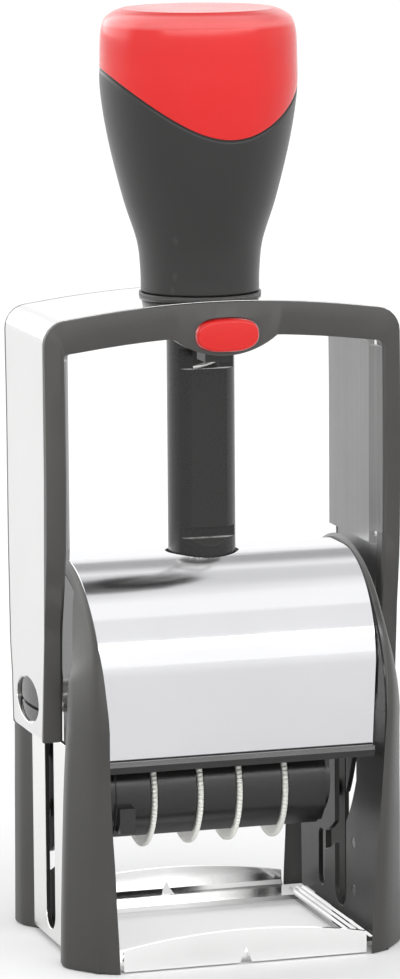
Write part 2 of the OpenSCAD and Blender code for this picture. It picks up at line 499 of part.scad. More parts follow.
module decade_band() color(BLACK) lift() date_band(LANES[2], [[0.12, 0.88]]);
module year_band() color(BLACK) lift() date_band(LANES[3], [[0.12, 0.88]]);
module text_plate() color(STEEL) lift() difference() {
    box([-die_w / 2, -die_d / 2, 12.22], [die_w / 2, die_d / 2, 12.9]);
    box([-13.5, -6, 10], [13.5, 6, 15]);
}
module text_die() color([0.55, 0.3, 0.25]) lift() difference() {
    union() {
        box([-die_w / 2, -die_d / 2, 12.92], [die_w / 2, die_d / 2, 13.6]);
        difference() {
            box([-die_w / 2 + 0.4, -die_d / 2 + 0.4, 13.6], [die_w / 2 - 0.4, die_d / 2 - 0.4, 14.3]);
            box([-die_w / 2 + 1.2, -die_d / 2 + 1.2, 13.6], [die_w / 2 - 1.2, die_d / 2 - 1.2, 15]);
        }
        // plain bars where a user's own lines of type go
        both_y() for (y = [-11, -8]) box([-16, y - 0.6, 13.6], [16, y + 0.6, 14.3]);
    }
    box([-13.5, -6, 10], [13.5, 6, 15]);
}

// ---------- setting wheels ----------
module date_wheel(x, h0, h1) lift() difference() {
    union() {
        along_x(x - 0.5, x + 0.5) translate([0, -wheel_drop]) polygon([for (i = [0:2 * wheel_teeth - 1]) let (a = 180 * i / wheel_teeth, r = i % 2 == 0 ? wheel_r : wheel_r - 0.4) [r * cos(a), r * sin(a)]]);
        xcyl(h0, h1, 4.6, 0, -wheel_drop);
    }
    xcyl(-30, 30, 1.56, 0, -wheel_drop);
}
module day_wheel() color("white") date_wheel(-13.7, -13.7, -4.9);
module month_wheel() color("white") date_wheel(-4.1, -4.1, 3.4);
module decade_wheel() color("white") date_wheel(4.1, 4.1, 8.85);
module year_wheel() color("white") date_wheel(13.7, 8.95, 13.7);

// ---------- ink pad ----------
module pad_tray() color([0.2, 0.2, 0.2]) difference() {
    union() {
        box([-24.1, -15.4, 65.8], [24.1, 15.6, 69.2]);
        both() box([24, -15.2, 65.6], [24.55, 15.4, 69.2]);
        // pull edge at the back
        box([-24.1, 15.4, 65.8], [24.1, 17.4, 69.2]);
        box([-8, 17.2, 66.2], [8, 20.6, 67.4]);
    }
    box([-23, -14.4, 65], [23, 14.4, 68]);
}
module ink_pad() color([0.25, 0.1, 0.35]) box([-22.8, -14.2, 65.85], [22.8, 14.2, 67.97]);

base_tray();
cheek_left();
cheek_right();
cam_plate_left();
cam_plate_right();
side_plate_left();
side_plate_right();
frame_rivets();
tie_rods();
hood();
cover();
pad_carrier();
guide_column();
column_nut();
yoke_band();
inner_stirrup();
front_trim();
rear_trim();
collar();
handle_tube();
guide_bush();
handle();
cap();
top_plug();
return_spring();
axle();
axle_end_left();
axle_end_right();
lock_button();
lock_tongue();
button_spring();
carriage_frame();
cam_pins();
drum_housing();
wheel_shaft();
type_bar();
day_band();
month_band();
decade_band();
year_band();
text_plate();
text_die();
day_wheel();
month_wheel();
decade_wheel();
year_wheel();
pad_tray();
ink_pad();
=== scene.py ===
import bpy
import bmesh
import json
import math
from mathutils import Vector, Matrix

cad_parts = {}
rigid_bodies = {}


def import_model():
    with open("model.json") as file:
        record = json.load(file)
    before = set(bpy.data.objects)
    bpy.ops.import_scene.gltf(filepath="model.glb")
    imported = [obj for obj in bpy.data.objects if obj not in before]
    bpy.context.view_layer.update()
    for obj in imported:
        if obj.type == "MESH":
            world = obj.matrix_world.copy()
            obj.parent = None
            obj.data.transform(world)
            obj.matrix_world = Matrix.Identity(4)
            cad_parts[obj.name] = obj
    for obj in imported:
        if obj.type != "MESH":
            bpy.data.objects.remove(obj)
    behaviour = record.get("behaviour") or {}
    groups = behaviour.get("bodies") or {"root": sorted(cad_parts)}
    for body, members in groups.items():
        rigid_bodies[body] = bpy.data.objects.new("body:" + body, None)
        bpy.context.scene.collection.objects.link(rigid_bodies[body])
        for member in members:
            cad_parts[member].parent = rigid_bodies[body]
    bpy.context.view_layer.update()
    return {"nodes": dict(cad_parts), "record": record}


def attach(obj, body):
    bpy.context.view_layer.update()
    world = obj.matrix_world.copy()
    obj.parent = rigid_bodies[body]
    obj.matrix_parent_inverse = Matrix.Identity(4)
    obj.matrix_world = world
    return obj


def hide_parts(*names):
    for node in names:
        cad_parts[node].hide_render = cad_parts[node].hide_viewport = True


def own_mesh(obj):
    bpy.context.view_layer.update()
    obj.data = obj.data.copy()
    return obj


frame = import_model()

MM = 0.001
NODES = frame["nodes"]
BODY_OF = {n: b for b, names in frame["record"]["behaviour"]["bodies"].items() for n in names}
SLOT_OF = {s["node"]: s["material_slot"] for s in frame["record"]["subparts"]}
scene = bpy.context.scene


# ---------------------------------------------------------------- camera
def make_camera():
    pos = Vector((-0.293894, -0.963376, 0.254699))
    d = Vector((0.28772, 0.94417, -0.16048)).normalized()
    a = math.radians(16.95)
    right = Vector((math.cos(a), -math.sin(a), 0))
    up = right.cross(d)
    r = math.radians(-0.42)
    rr = right * math.cos(r) + up * math.sin(r)
    uu = -right * math.sin(r) + up * math.cos(r)
    cam = bpy.data.cameras.new("camera")
    cam.lens, cam.sensor_width, cam.sensor_fit = 187.04, 36.0, "AUTO"
    cam.clip_start, cam.clip_end = 0.05, 60.0
    ob = bpy.data.objects.new("camera", cam)
    m = Matrix((rr, uu, -d)).transposed().to_4x4()
    m.translation = pos
    ob.matrix_world = m
    scene.collection.objects.link(ob)
    scene.camera = ob


make_camera()


# ---------------------------------------------------------------- material tools
class Mat:
    """Small builder for a procedural material in object coordinates (metres)."""

    def __init__(self, name):
        self.m = bpy.data.materials.new(name)
        self.m.use_nodes = True
        self.nt = self.m.node_tree
        self.nt.nodes.clear()
        self.out = self.node("ShaderNodeOutputMaterial")
        self.b = self.node("ShaderNodeBsdfPrincipled")
        self.link(self.b.outputs[0], self.out.inputs[0])
        self.tc = self.node("ShaderNodeTexCoord")

    def node(self, kind, **props):
        n = self.nt.nodes.new(kind)
        for k, v in props.items():
            setattr(n, k, v)
        return n

    def link(self, a, b):
        self.nt.links.new(a, b)

    def coords(self, scale=(1, 1, 1), rot=(0, 0, 0), loc=(0, 0, 0)):
        n = self.node("ShaderNodeMapping")
        n.inputs["Scale"].default_value = scale
        n.inputs["Rotation"].default_value = rot
        n.inputs["Location"].default_value = loc
        self.link(self.tc.outputs["Object"], n.inputs["Vector"])
        return n.outputs[0]

    def noise(self, vec, scale, detail=2.0, rough=0.5, distortion=0.0):
        n = self.node("ShaderNodeTexNoise")
        n.inputs["Scale"].default_value = scale
        n.inputs["Detail"].default_value = detail
        n.inputs["Roughness"].default_value = rough
        n.inputs["Distortion"].default_value = distortion
        self.link(vec, n.inputs["Vector"])
        return n.outputs["Fac"]

    def voronoi(self, vec, scale, feature="F1", out="Distance"):
        n = self.node("ShaderNodeTexVoronoi")
        n.feature = feature
        n.inputs["Scale"].default_value = scale
        self.link(vec, n.inputs["Vector"])
        return n.outputs[out]

    def map(self, fac, a, b, c, d):
        n = self.node("ShaderNodeMapRange")
        for i, v in enumerate((a, b, c, d)):
            n.inputs[i + 1].default_value = v
        self.link(fac, n.inputs[0])
        return n.outputs[0]

    def math(self, op, a, b=0.0):
        n = self.node("ShaderNodeMath", operation=op)
        for i, v in enumerate((a, b)):
            if isinstance(v, (int, float)):
                n.inputs[i].default_value = v
            else:
                self.link(v, n.inputs[i])
        return n.outputs[0]

    def mix(self, fac, c1, c2):
        n = self.node("ShaderNodeMix", data_type="RGBA")
        if isinstance(fac, (int, float)):
            n.inputs[0].default_value = fac
        else:
            self.link(fac, n.inputs[0])
        for i, c in ((6, c1), (7, c2)):
            if isinstance(c, (tuple, list)):
                n.inputs[i].default_value = (*c[:3], 1)
            else:
                self.link(c, n.inputs[i])
        return n.outputs[2]

    def height(self):
        n = self.node("ShaderNodeSeparateXYZ")
        self.link(self.tc.outputs["Object"], n.inputs[0])
        return n.outputs[2]

    def edges(self, low=0.5, high=0.56):
        g = self.node("ShaderNodeNewGeometry")
        return self.map(g.outputs["Pointiness"], low, high, 0.0, 1.0)

    def bump(self, height, strength, distance, normal=None):
        n = self.node("ShaderNodeBump")
        n.inputs["Strength"].default_value = strength
        n.inputs["Distance"].default_value = distance
        self.link(height, n.inputs["Height"])
        if normal is not None:
            self.link(normal, n.inputs["Normal"])
        return n.outputs[0]

    def set(self, name, v):
        s = self.b.inputs[name]
        if isinstance(v, (int, float)):
            s.default_value = v
        elif isinstance(v, (tuple, list)):
            s.default_value = (*v[:3], 1)
        else:
            self.link(v, s)


def shade(c, k):
    return tuple(min(1.0, x * k) for x in c)


def plastic(name, base, rough, grain=0.3, grain_scale=2600, var=0.12, wear=0.25, spec=0.5, coat=0.0, coat_rough=0.1, dust=0.5, gloss=None, painted_shoulder_sheen=None):
    """Moulded plastic: fine spark-eroded grain, faint cloudy colour, worn and dusty edges."""
    m = Mat(name)
    p = m.coords()
    fine = m.noise(p, grain_scale, 2.0, 0.6)
    pits = m.voronoi(p, grain_scale * 0.55)
    cloud = m.noise(p, 55, 4.0, 0.55)
    specks = m.map(m.noise(p, grain_scale * 0.8, 1.0, 0.5), 0.62, 0.8, 0.0, 1.0)
    col = m.mix(m.map(cloud, 0.3, 0.7, 0.0, 1.0), shade(base, 1 - var), shade(base, 1 + var))
    col = m.mix(m.math("MULTIPLY", specks, 0.22 * dust), col, shade(base, 1.9))
    col = m.mix(m.math("MULTIPLY", m.edges(0.51, 0.6), wear), col, tuple(min(1, x * 1.5 + 0.03) for x in base))
    if painted_shoulder_sheen:
        # painted sheen: a paler band of heights on the rounded shoulder, standing in for the reflection of a bright
        # ceiling
        f = m.math("MULTIPLY", m.map(m.height(), painted_shoulder_sheen[0] - 0.0006, painted_shoulder_sheen[0] + 0.0002, 0.0, 0.85), m.map(m.height(), painted_shoulder_sheen[1] - 0.0003, painted_shoulder_sheen[1] + 0.0002, 1.0, 0.0))
        col = m.mix(f, col, painted_shoulder_sheen[2])
    m.set("Base Color", col)
    r = m.math("ADD", m.map(cloud, 0.25, 0.75, rough - 0.04, rough + 0.05), m.map(fine, 0.3, 0.7, -0.03, 0.03))
    if gloss:
        r = m.math("ADD", r, m.map(m.height(), *gloss))
    m.set("Roughness", r)
    m.set("Specular IOR Level", spec)
    m.set("IOR", 1.5)
    if coat:
        m.set("Coat Weight", coat)
        m.set("Coat Roughness", coat_rough)
    n = m.bump(pits, grain * 0.5, 0.00003)
    n = m.bump(fine, grain, 0.00004, n)
    n = m.bump(m.noise(p, 140, 2.0), 0.10, 0.00012, n)
    m.set("Normal", n)
    return m.m


def chrome(name, base, rough, smear=0.05, ripple=0.05, scratch=0.08, along="x", hazy=None, painted_inner_shade=None, painted_end_shade=None):
    """Bright plated sheet: faint haze, wiping marks and hair scratches in the sheet's drawing direction."""
    m = Mat(name)
    p = m.coords()
    st = {"x": (30, 2600, 2600), "y": (2600, 30, 2600), "z": (2600, 2600, 30)}[along]
    q = m.coords(st)
    haze = m.noise(p, 42, 5.0, 0.6, 0.3)
    hair = m.noise(q, 1.0, 2.0, 0.6)
    col = m.mix(m.map(haze, 0.3, 0.7, 0.0, 1.0), shade(base, 1 - smear), shade(base, 1 + smear * 0.4))
    col = m.mix(m.map(hair, 0.35, 0.75, 0.0, 0.5 * scratch + 0.02), col, shade(base, 0.8))
    if painted_end_shade:
        # painted shade: darker toward one end, behind the front edge, where the sheet mirrors a dark wall
        n = m.node("ShaderNodeSeparateXYZ")
        m.link(m.tc.outputs["Object"], n.inputs[0])
        f = m.math("MULTIPLY", m.map(n.outputs[0], *painted_end_shade[0], 0.0, 1.0), m.map(n.outputs[1], *painted_end_shade[1], 0.0, 1.0))
        col = m.mix(f, col, m.mix(m.map(haze, 0.3, 0.7, 0.0, 1.0), shade(base, painted_end_shade[2] * 0.8), shade(base, painted_end_shade[2] * 1.3)))
    if painted_inner_shade:
        # painted shade: dark and dull on the side that faces the works, which lies in shade
        n = m.node("ShaderNodeSeparateXYZ")
        m.link(m.tc.outputs["Object"], n.inputs[0])
        back = m.map(m.math("ABSOLUTE", n.outputs[0]), painted_inner_shade - 0.00002, painted_inner_shade, 1.0, 0.0)
        col = m.mix(back, col, m.mix(m.map(haze, 0.3, 0.7, 0.0, 1.0), (0.018, 0.017, 0.016), (0.03, 0.029, 0.028)))
    m.set("Base Color", col)
    m.set("Metallic", 1.0)
    r = m.math("ADD", m.map(haze, 0.25, 0.75, rough * 0.6, rough * 1.5), m.map(hair, 0.5, 0.8, 0.0, scratch * 0.6))
    if painted_inner_shade:
        r = m.math("MAXIMUM", r, m.math("MULTIPLY", back, 0.6))
    if hazy:
        # handled and wiped more near the top: duller above a height
        r = m.math("ADD", r, m.map(m.height(), *hazy))
    m.set("Roughness", r)
    n = m.bump(hair, scratch, 0.000004)
    n = m.bump(m.noise(p, 420, 2.0, 0.5), ripple, 0.00002, n)
    m.set("Normal", n)
    return m.m


def brushed(name, base, rough=0.34, along="z", streak=0.18, aniso=0.5):
    """Steel with a lengthwise brushed or drawn grain."""
    m = Mat(name)
    st = {"x": (22, 3400, 3400), "y": (3400, 22, 3400), "z": (3400, 3400, 22)}[along]
    q = m.coords(st)
    q2 = m.coords(tuple(x * 0.33 for x in st), loc=(3.1, 1.7, 0.4))
    fine = m.noise(q, 1.0, 3.0, 0.6)
    wide = m.noise(q2, 0.5, 3.0, 0.55)
    cloud = m.noise(m.coords(), 38, 4.0, 0.6)
    streaks = m.math("ADD", m.math("MULTIPLY", fine, 0.45), m.math("MULTIPLY", wide, 0.55))
    col = m.mix(m.map(streaks, 0.3, 0.7, 0.0, 1.0), shade(base, 1 - streak), shade(base, 1 + streak))
    col = m.mix(m.map(cloud, 0.45, 0.75, 0.0, 0.18), col, shade(base, 0.72))
    m.set("Base Color", col)
    m.set("Metallic", 1.0)
    m.set("Roughness", m.math("ADD", m.map(streaks, 0.3, 0.7, rough - 0.07, rough + 0.08), m.map(cloud, 0.3, 0.7, -0.03, 0.03)))
    m.set("Anisotropic", aniso)
    n = m.bump(fine, 0.22, 0.00001)
    m.set("Normal", n)
    return m.m


def rubber(name, base, rough=0.75):
    m = Mat(name)
    p = m.coords()
    fine = m.noise(p, 1900, 3.0, 0.6)
    cloud = m.noise(p, 90, 4.0, 0.6)
    col = m.mix(m.map(cloud, 0.3, 0.7, 0.0, 1.0), shade(base, 0.75), shade(base, 1.2))
    col = m.mix(m.map(m.noise(p, 700, 3.0, 0.7), 0.55, 0.8, 0.0, 0.5), col, shade(base, 1.7))
    m.set("Base Color", col)
    m.set("Roughness", m.map(cloud, 0.3, 0.7, rough - 0.1, rough + 0.1))
    m.set("Normal", m.bump(fine, 0.5, 0.00005))
    return m.m


def felt(name, base):
    m = Mat(name)
    p = m.coords()
    fibres = m.noise(m.coords((1600, 1600, 500)), 1.0, 5.0, 0.7, 1.2)
    cloud = m.noise(p, 120, 4.0, 0.6)
    col = m.mix(m.map(fibres, 0.3, 0.7, 0.0, 1.0), shade(base, 0.5), shade(base, 1.5))
    col = m.mix(m.map(cloud, 0.4, 0.7, 0.0, 0.5), col, shade(base, 0.4))
    m.set("Base Color", col)
    m.set("Roughness", m.map(cloud, 0.3, 0.7, 0.55, 0.85))
    m.set("Sheen Weight", 0.3)
    m.set("Normal", m.bump(fibres, 0.8, 0.0001))
    return m.m


MATS = {
    "black_trim": plastic("moulded_black_trim", (0.0285, 0.0272, 0.0259), 0.40, 0.40, 2400, spec=0.45),
    "black_cheek": plastic("moulded_black_cheek", (0.030, 0.029, 0.0275), 0.42, 0.40, 2400, spec=0.45),
    "black_gloss": plastic("glossy_black_wall", (0.007, 0.0066, 0.0062), 0.10, 0.04, 2400, wear=0.12, dust=0.1, spec=0.32, gloss=(0.044, 0.054, 0.34, 0.0)),
    "black_handle": plastic("moulded_black_handle", (0.0135, 0.013, 0.0125), 0.36, 0.20, 2600, spec=0.4, dust=0.25),
    "black_column": plastic("moulded_black_column", (0.0098, 0.0094, 0.0090), 0.28, 0.03, 2600, spec=0.34, dust=0.0, wear=0.1),
    "black_hood": plastic("satin_black_hood", (0.008, 0.0076, 0.0073), 0.22, 0.08, 2600, dust=0.15),
    "black_inner": plastic("satin_black_inner", (0.012, 0.0116, 0.011), 0.42, 0.2, 2600, spec=0.3, dust=0.25),
    "black_drum": plastic("satin_black_drum", (0.009, 0.0086, 0.0083), 0.22, 0.1, 2600, dust=0.2),
    "black_axle_end": plastic("grained_black_axle_end", (0.024, 0.023, 0.022), 0.36, 0.8, 1500, wear=0.5),
    "dark_steel": plastic("dark_lacquered_steel", (0.012, 0.0117, 0.0113), 0.26, 0.22, 1800, spec=0.6),
    "grey_bush": plastic("machined_grey_bush", (0.18, 0.18, 0.18), 0.4, 0.15, 2600),
    "white_wheel": plastic("moulded_white_wheel", (0.72, 0.72, 0.68), 0.38, 0.12, 2600, var=0.03, wear=0.05, dust=0.0),
    # red cap: painted sheen, a paler band on the rounded shoulder
    "red_cap": plastic("red_cap_plastic", (0.53, 0.0065, 0.0060), 0.20, 0.06, 2600, var=0.03, wear=0.08, dust=0.0, spec=0.40, painted_shoulder_sheen=(0.1846, 0.1869, (0.60, 0.115, 0.115))),
    "red_button": plastic("red_button_plastic", (0.50, 0.0060, 0.0045), 0.17, 0.06, 2600, var=0.03, wear=0.08, dust=0.0, spec=0.40),
    "chrome_cover": chrome("chrome_cover", (0.665, 0.665, 0.68), 0.07, 0.03, 0.03, 0.06, "x", hazy=(0.0705, 0.0765, 0.0, 0.10)),
    "chrome_band": chrome("chrome_band", (0.63, 0.63, 0.626), 0.07, 0.03, 0.04, 0.06, "z"),
    # side plates: painted shade on the faces that look inward
    "chrome_side": chrome("chrome_side", (0.74, 0.74, 0.73), 0.09, 0.03, 0.04, 0.06, "z", painted_inner_shade=0.03225),
    # tray: painted shade toward one end, behind the front edge
    "chrome_tray": chrome("chrome_tray", (0.92, 0.92, 0.915), 0.12, 0.05, 0.12, 0.08, "x", painted_end_shade=((0.0, 0.026), (-0.0268, -0.0262), 0.22)),
    "satin_steel": brushed("brushed_stirrup_steel", (0.215, 0.218, 0.214), 0.36, "z", streak=0.26),
    "steel_small": brushed("turned_small_steel", (0.45, 0.45, 0.44), 0.3, "x"),
    "steel_inner": brushed("turned_inner_steel", (0.45, 0.45, 0.44), 0.3, "z"),
    "spring_steel": brushed("drawn_spring_wire", (0.42, 0.42, 0.41), 0.3, "z"),
    "satin_plate": brushed("satin_text_plate", (0.56, 0.56, 0.56), 0.4, "x"),
    "band_rubber": rubber("date_band_rubber", (0.035, 0.034, 0.034), 0.7),
    "die_rubber": rubber("text_die_rubber", (0.32, 0.10, 0.075), 0.75),
    "pad_felt": felt("inked_felt", (0.05, 0.02, 0.10)),
}


# ---------------------------------------------------------------- mesh tools
def finish_piece(ob, node, material, name=None):
    ob.data.materials.clear()
    ob.data.materials.append(MATS[material])
    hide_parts(node)
    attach(ob, BODY_OF[node])
    return ob


def link(ob):
    scene.collection.objects.link(ob)
    return ob


def clean(bm, weld=3e-6, flat=0.25):
    bmesh.ops.remove_doubles(bm, verts=bm.verts, dist=weld)
    bmesh.ops.dissolve_degenerate(bm, dist=1e-7, edges=bm.edges)
    if flat:
        bmesh.ops.dissolve_limit(bm, angle_limit=math.radians(flat), use_dissolve_boundaries=False, verts=bm.verts, edges=bm.edges)
    bmesh.ops.recalc_face_normals(bm, faces=bm.faces)


def add_bevel(ob, width, segments=2, angle=30):
    if width:
        b = ob.modifiers.new("bevel", "BEVEL")
        b.width, b.segments, b.limit_method, b.angle_limit = width * MM, segments, "ANGLE", math.radians(angle)
        b.use_clamp_overlap = True
        b.miter_outer = "MITER_ARC"
    w = ob.modifiers.new("normals", "WEIGHTED_NORMAL")
    w.mode, w.weight, w.keep_sharp = "FACE_AREA_WITH_ANGLE", 60, True


def smooth(me):
    me.polygons.foreach_set("use_smooth", [True] * len(me.polygons))


def solid(node, material=None, bevel=0.12, segments=2, angle=30, flat=0.25, name=None):
    """A finished copy of a CAD part: welded, flats joined, every hard edge broken by a small round."""
    me = NODES[node].data.copy()
    bm = bmesh.new()
    bm.from_mesh(me)
    clean(bm, flat=flat)
    bm.to_mesh(me)
    bm.free()
    me.name = (name or node) + "_mesh"
    for a in [a for a in me.attributes if a.name in ("custom_normal", "UVMap")]:
        me.attributes.remove(a)
    smooth(me)
    ob = link(bpy.data.objects.new(name or node + "_finish", me))
    finish_piece(ob, node, material or SLOT_OF[node])
    add_bevel(ob, bevel, segments, angle)
    return ob


def mesh_piece(name, verts, faces, node, material=None, bevel=0.0, segments=2, angle=30, weld=1e-6):
    me = bpy.data.meshes.new(name + "_mesh")
    me.from_pydata([tuple(c * MM for c in v) for v in verts], [], faces)
    bm = bmesh.new()
    bm.from_mesh(me)
    bmesh.ops.remove_doubles(bm, verts=bm.verts, dist=weld)
    bmesh.ops.recalc_face_normals(bm, faces=bm.faces)
    bm.to_mesh(me)
    bm.free()
    smooth(me)
    ob = link(bpy.data.objects.new(name, me))
    finish_piece(ob, node, material or SLOT_OF[node])
    add_bevel(ob, bevel, segments, angle)
    return ob


def lookup(x, table):
    if x <= table[0][0]:
        return table[0][1]
    for (a, fa), (b, fb) in zip(table, table[1:]):
        if x <= b:
            return fa + (fb - fa) * (x - a) / (b - a)
    return table[-1][1]


def soft(x, table):
    """Like lookup, but a smooth curve through the same points."""
    n = len(table)
    if x <= table[0][0]:
        return table[0][1]
    if x >= table[-1][0]:
        return table[-1][1]
    for i in range(n - 1):
        (a, fa), (b, fb) = table[i], table[i + 1]
        if x <= b:
            def slope(j):
                if 0 < j < n - 1:
                    s0 = (table[j][1] - table[j - 1][1]) / (table[j][0] - table[j - 1][0])
                    s1 = (table[j + 1][1] - table[j][1]) / (table[j + 1][0] - table[j][0])
                    return 0 if s0 * s1 <= 0 else 2 * s0 * s1 / (s0 + s1)
                k = 0 if j == 0 else n - 2
                return (table[k + 1][1] - table[k][1]) / (table[k + 1][0] - table[k][0])
            h, t = b - a, (x - a) / (b - a)
            return (2 * t ** 3 - 3 * t * t + 1) * fa + (t ** 3 - 2 * t * t + t) * h * slope(i) + (-2 * t ** 3 + 3 * t * t) * fb + (t ** 3 - t * t) * h * slope(i + 1)
    return table[-1][1]


def tube_faces(n, m, closed_n=False, caps=True):
    """Faces between n rings of m points each."""
    f = []
    for i in range(n if closed_n else n - 1):
        for k in range(m):
            a, b = i * m + k, i * m + (k + 1) % m
            c, d = ((i + 1) % n) * m + k, ((i + 1) % n) * m + (k + 1) % m
            f.append((a, b, d, c))
    if caps and not closed_n:
        f.append(tuple(range(m)))
        f.append(tuple(range((n - 1) * m, n * m))[::-1])
    return f


# ---------------------------------------------------------------- cheeks
ARCH_R, ARCH_Z = 31.3, 48.8
LEG_Y = [[0, 28.6], [12, 28.9], [24, 29.4], [36, 30], [42, 30.5], [48.8, ARCH_R]]
EDGE_IN = [[0, 26.05], [6, 26.3], [11, 26.6], [21, 27.1], [31, 27.8], [42, 28.3], [51, 28.6], [56, 28.9], [61, 29.1], [66, 29.4], [69, 29.5], [72, 29.6]]
EDGE_OUT = [[0, 35.4], [25, 34.9], [45, 34.3], [61, 33.5], [66, 32.4], [72, 31.6], [77, 31.35], [81, 31.3]]
FLARE = [[0, 0], [0.7, 2.2], [2.35, 4.35], [4.5, 6.2], [6.7, 7.8], [8.5, 8.85], [9.4, 9], [11.2, 8.8], [12.1, 8.6], [16, 6]]
LEG_FRONT = [[3, 12], [7.8, 12.2], [28.8, 13.9], [38, 15.4], [46.5, 17], [60.5, 17.6]]
LEG_BACK = [[3, 11], [28, 12.3], [46, 14.4]]


def leg_room(y, z):
    r = 32.3 + 2.5 * max(0.0, abs(y) - 1 - lookup(z, LEG_FRONT if y < 0 else LEG_BACK))
    q = 30.77 + (0.386 * max(0.0, -y - 13.35) + 2.5 * max(0.0, -y - 17) if y < 0 else 2.5 * max(0.0, y - 13.4))
    return min(r, q + 2.5 * max(0.0, 44 - z))


def cheek(side, node):
    stations = []
    zs = [0, 0.25, 0.6, 1.2] + [2.5 + 43 * i / 24 for i in range(25)]
    for z in zs:
        stations.append((-soft(z, LEG_Y), z, 1.0, 0.0))
    for i in range(97):
        a = math.pi - math.pi * i / 96
        stations.append((ARCH_R * math.cos(a), ARCH_Z + ARCH_R * math.sin(a), -math.cos(a), -math.sin(a)))
    for z in zs[::-1]:
        stations.append((soft(z, LEG_Y), z, -1.0, 0.0))
    m, verts = 0, []
    for y, z, iy, iz in stations:
        a = soft(z, EDGE_IN)
        w = (soft(z, EDGE_OUT) - (lookup(z, [[60, 0.75], [80, 0]]) if y > 0 else 0) - a) / 9
        if iz == 0:
            de = abs(y) - lookup(z, [[40, 12.7], [43, 13.5]])
        else:
            de = max(2.4, min(16, ARCH_R - 13.5 / max(0.01, abs(iy))))
        foot = 0.5 * max(0.0, 1 - z / 0.6) ** 2
        ring = []
        for k in range(33):
            d = de * (k / 32) ** 1.25
            ring.append((d, min(a + soft(d, FLARE) * w, leg_room(y + iy * d, z + iz * d)) - (foot if d > 0.4 else 0)))
        ring += [(de, 30.23), (1.97, 30.23), (1.97, 29.2), (0.7, min(a + 0.9, 29.1))]
        m = len(ring)
        verts += [(side * x, y + iy * d, z + iz * d) for d, x in ring]
    f = tube_faces(len(stations), m)
    return mesh_piece("cheek_finish_" + ("right" if side > 0 else "left"), verts, f, node, bevel=0.28, segments=3, angle=38)


for side, node in ((1, "cheek_right"), (-1, "cheek_left")):
    cheek(side, node).visible_glossy = False


# ---------------------------------------------------------------- handle and cap
def curve(points, n):
    out, m = [], len(points) - 1
    for i in range(m):
        a, b, c, d = points[max(i - 1, 0)], points[i], points[i + 1], points[min(i + 2, m)]
        for k in range(n):
            t = k / n
            out.append(tuple(0.5 * (2 * b[j] + (c[j] - a[j]) * t + (2 * a[j] - 5 * b[j] + 4 * c[j] - d[j]) * t * t + (3 * b[j] - a[j] - 3 * c[j] + d[j]) * t ** 3) for j in (0, 1)))
    return out + [tuple(points[m])]


GRIP = curve([[11.82, 131.3], [11.9, 135.6], [12.57, 141.4], [15.22, 149.8], [18.03, 161.3], [19.54, 171.1], [19.6, 178], [19.45, 182.2], [19.1, 184.3]], 14)
CROWN = curve([[19.1, 184.3], [18.6, 185.5], [17.75, 186.3], [16.7, 186.9], [15.6, 187.28]], 6)
GRIP_Z = [[z, r] for r, z in GRIP]


def border(th, r):
    """Height of the cap's lower edge at a direction th and radius r."""
    y = r * math.sin(th - math.radians(5))
    if y >= 6:
        return 175.8
    if y <= -23:
        return 146.8
    return 146.8 + math.sqrt(29 ** 2 - (y - 6) ** 2)


def edge_height(th):
    z = 170.0
    for _ in range(40):
        z = 0.5 * z + 0.5 * border(th, lookup(z, GRIP_Z))
    return z


TH = [2 * math.pi * i / 256 for i in range(256)]
EDGE = [edge_height(t) for t in TH]


def make_handle():
    n = 256
    rings = []
    # bore, bottom face and grip up to just under the cap's edge, then the neck inside the cap
    for r, z in [(8.65, 178.5), (8.65, 131.6), (8.95, 131.3), (11.45, 131.3), (11.7, 131.36), (11.8, 131.6)]:
        rings.append([(r, z)] * n)
    for k in range(1, 61):
        t = k / 60
        row = []
        for e in EDGE:
            z = 131.6 + (e - 0.12 - 131.6) * t
            row.append((lookup(z, GRIP_Z) - (0.1 if k == 60 else 0.015 if k == 59 else 0), z - (0.0 if k == 60 else 0.12 if k == 59 else 0)))
        rings.append(row)
    rings.append([(lookup(e, GRIP_Z) - 1.95, e - 0.14) for e in EDGE])
    rings.append([(min(17.4, lookup(max(e + 1, 176.5), GRIP_Z) - 1.95), max(e + 1, 176.5)) for e in EDGE])
    for r, z in [(17.3, 181), (16.6, 184.5), (6.2, 184.5), (6.0, 184.3), (6.0, 178.5)]:
        rings.append([(r, z)] * n)
    verts = [(r * math.cos(TH[i]), r * math.sin(TH[i]), z) for row in rings for i, (r, z) in enumerate(row)]
    f = tube_faces(len(rings), n, closed_n=True)
    return mesh_piece("grip_finish", verts, f, "handle")


def make_cap():
    n = 256
    rings = []
    # inside wall down, rounded lower edge, outside up and over the crown
    rings.append([(0.6, 184.7)] * n)
    rings.append([(16.4, 184.7)] * n)
    rings.append([(lookup(181, GRIP_Z) - 1.8, 181.2)] * n)
    rings.append([(lookup(max(e + 0.6, 176), GRIP_Z) - 1.8, max(e + 0.6, 176)) for e in EDGE])
    rings.append([(lookup(e, GRIP_Z) - 1.8, e) for e in EDGE])
    rings.append([(lookup(e, GRIP_Z) - 0.30, e) for e in EDGE])
    rings.append([(lookup(e, GRIP_Z) - 0.13, e + 0.03) for e in EDGE])
    rings.append([(lookup(e, GRIP_Z) - 0.03, e + 0.11) for e in EDGE])
    rings.append([(lookup(e, GRIP_Z), e + 0.26) for e in EDGE])
    for k in range(1, 33):
        t = (k / 32) ** 0.9
        rings.append([(lookup(e + 0.26 + (184.3 - e - 0.26) * t, GRIP_Z), e + 0.26 + (184.3 - e - 0.26) * t) for e in EDGE])
    for r, z in CROWN[1:]:
        rings.append([(r, z)] * n)
    for r, z in [(15.42, 187.36), (15.25, 187.42), (15.05, 187.44), (14.6, 187.44), (11, 187.42), (6, 187.41), (0.6, 187.41)]:
        rings.append([(r, z)] * n)
    verts = [(r * math.cos(TH[i]), r * math.sin(TH[i]), z) for row in rings for i, (r, z) in enumerate(row)]
    f = tube_faces(len(rings), n, caps=True)
    return mesh_piece("cap_finish", verts, f, "cap")


make_handle()
make_cap()


# ---------------------------------------------------------------- setting wheels
AXLE_Z, DROP = 50.7, 19.5


